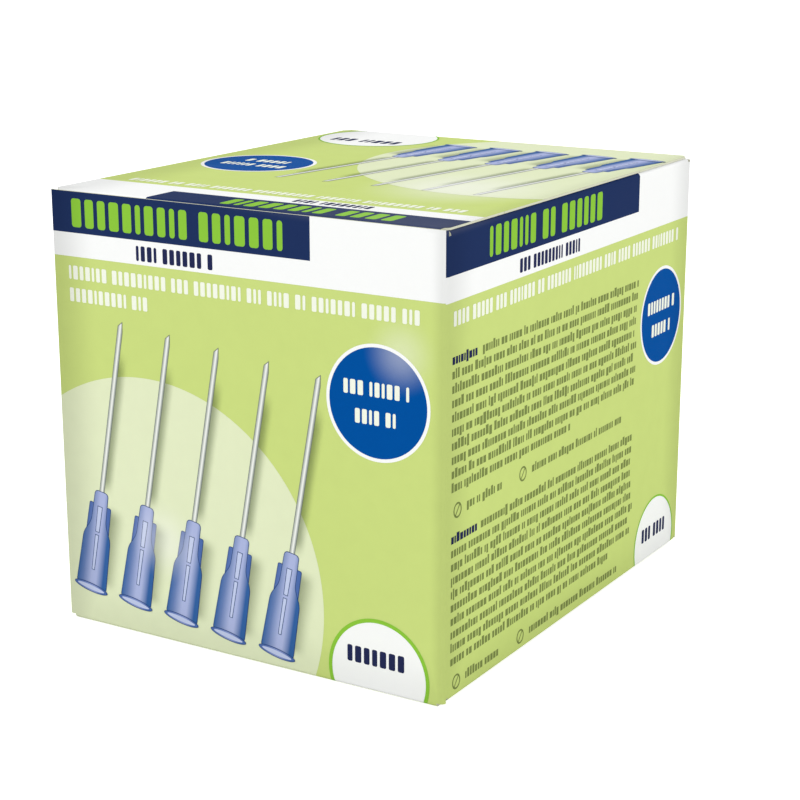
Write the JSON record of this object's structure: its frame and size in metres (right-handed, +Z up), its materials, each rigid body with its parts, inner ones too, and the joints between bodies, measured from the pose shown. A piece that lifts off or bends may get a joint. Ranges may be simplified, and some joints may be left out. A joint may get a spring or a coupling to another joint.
{
  "type": "folding carton of hypodermic needles",
  "caption": "Nearly cubic printed tuck-top carton with a hinged lid, dust flaps and a glued bottom, filled with strips of blister-packed hypodermic needles.",
  "frame": {"origin": "middle of the carton's footprint, on the surface that it stands on", "axes": "+Z up, +X to the right of the front face, +Y from the front face to the lid's hinge"},
  "size_m": [0.098, 0.118, 0.098],
  "materials": {
    "printed_board": "satin, coated and printed outside, grey-white inside",
    "peel_paper": "matt paper sealed to clear film"
  },
  "bodies": {
    "carton": {"carton_body": "printed_board", "needle_strip_01": "peel_paper", "needle_strip_02": "peel_paper", "needle_strip_03": "peel_paper", "needle_strip_04": "peel_paper", "needle_strip_05": "peel_paper", "needle_strip_06": "peel_paper", "needle_strip_07": "peel_paper", "needle_strip_08": "peel_paper", "needle_strip_09": "peel_paper", "needle_strip_10": "peel_paper", "needle_strip_11": "peel_paper", "needle_strip_12": "peel_paper", "needle_strip_13": "peel_paper", "needle_strip_14": "peel_paper", "needle_strip_15": "peel_paper", "needle_strip_16": "peel_paper", "needle_strip_17": "peel_paper", "needle_strip_18": "peel_paper", "needle_strip_19": "peel_paper", "needle_strip_20": "peel_paper"},
    "lid": {"hinged_lid": "printed_board"}
  },
  "joints": [
    {"name": "lid_hinge", "type": "hinge", "parent": "carton", "child": "lid", "pos_m": [0, 0.05874, 0.09774], "axis": [-1, 0, 0], "range_deg": [0, 180]}
  ]
}
